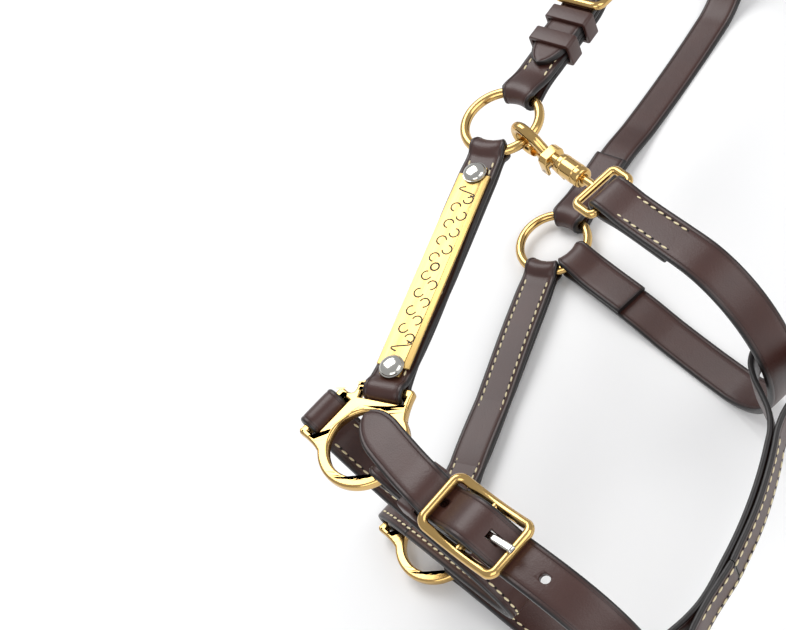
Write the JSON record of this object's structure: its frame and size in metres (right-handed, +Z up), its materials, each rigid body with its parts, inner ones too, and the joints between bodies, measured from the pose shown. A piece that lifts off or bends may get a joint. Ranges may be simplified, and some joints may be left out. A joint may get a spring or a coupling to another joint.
{
  "type": "leather headcollar",
  "caption": "Leather headcollar with brass squares, rings, buckles and trigger snap, a riveted cheek nameplate, and its noseband folded back.",
  "frame": {"origin": "centre of the bounding box's bottom face, on the surface it lies on", "axes": "+Z up, the near side is on top; +Y from the noseband towards the crown strap"},
  "size_m": [0.2136, 0.463, 0.1206],
  "materials": {
    "havana_leather": "satin",
    "leather_lining": "matte",
    "cast_brass": "polished",
    "plate_brass": "brushed",
    "nickel": "polished",
    "spring_steel": "satin",
    "thread": "matte"
  },
  "bodies": {
    "straps": {"cheek_near": "havana_leather", "cheek_off": "havana_leather", "cheek_square_near": "cast_brass", "cheek_square_off": "cast_brass", "nameplate": "plate_brass", "rivet_top": "nickel", "rivet_bottom": "nickel", "burr_top": "cast_brass", "burr_bottom": "cast_brass", "noseband": "havana_leather", "noseband_lining": "leather_lining", "chin_chape": "havana_leather", "chin_buckle": "cast_brass", "chin_keeper": "havana_leather", "chin_strap_near": "havana_leather", "chin_strap_off": "havana_leather", "crown_chape": "havana_leather", "crown_buckle": "cast_brass", "crown_keeper": "havana_leather", "crown_strap": "havana_leather", "snap_eye": "cast_brass", "throatlatch": "havana_leather", "joining_strap": "havana_leather"},
    "upper_ring_near": {"upper_ring_near": "cast_brass"},
    "upper_ring_off": {"upper_ring_off": "cast_brass"},
    "lead_ring": {"lead_ring": "cast_brass"},
    "chin_tongue": {"chin_tongue": "nickel"},
    "crown_tongue": {"crown_tongue": "nickel"},
    "snap": {"snap_body": "cast_brass", "snap_pin": "spring_steel", "snap_spring": "spring_steel"},
    "snap_trigger": {"snap_trigger": "cast_brass"},
    "crown_loop": {"crown_loop": "havana_leather"}
  },
  "joints": [
    {"name": "upper_ring_near_turn", "type": "hinge", "parent": "straps", "child": "upper_ring_near", "pos_m": [-0.02145, 0.04444, 0.1066], "axis": [0, 0, 1], "continuous": true},
    {"name": "upper_ring_off_turn", "type": "hinge", "parent": "straps", "child": "upper_ring_off", "pos_m": [-0.02145, 0.04444, 0.0066], "axis": [0, 0, 1], "continuous": true},
    {"name": "lead_ring_turn", "type": "hinge", "parent": "straps", "child": "lead_ring", "pos_m": [0.0327, -0.21499, 0.0566], "axis": [0.766, -0.6428, 0], "continuous": true},
    {"name": "chin_tongue_lift", "type": "hinge", "parent": "straps", "child": "chin_tongue", "pos_m": [-0.02246, -0.1687, 0.11175], "axis": [-0.6428, -0.766, 0], "range_deg": [0, 8]},
    {"name": "crown_tongue_lift", "type": "hinge", "parent": "straps", "child": "crown_tongue", "pos_m": [0.0273, 0.12246, 0.11175], "axis": [0.848, -0.5299, 0], "range_deg": [0, 8]},
    {"name": "snap_swivel", "type": "hinge", "parent": "straps", "child": "snap", "pos_m": [0.00747, 0.01343, 0.1066], "axis": [0.682, -0.7314, 0], "range_deg": [-12, 12]},
    {"name": "snap_trigger_press", "type": "hinge", "parent": "snap", "child": "snap_trigger", "pos_m": [0.00269, 0.01855, 0.1013], "axis": [0.7314, 0.682, 0], "range_deg": [0, 12], "stiffness_Nm_per_rad": 0.02, "springref_deg": -11.46},
    {"name": "crown_loop_slide", "type": "slide", "parent": "straps", "child": "crown_loop", "axis": [0.5299, 0.848, 0], "range_m": [-0.005, 0.006]}
  ]
}
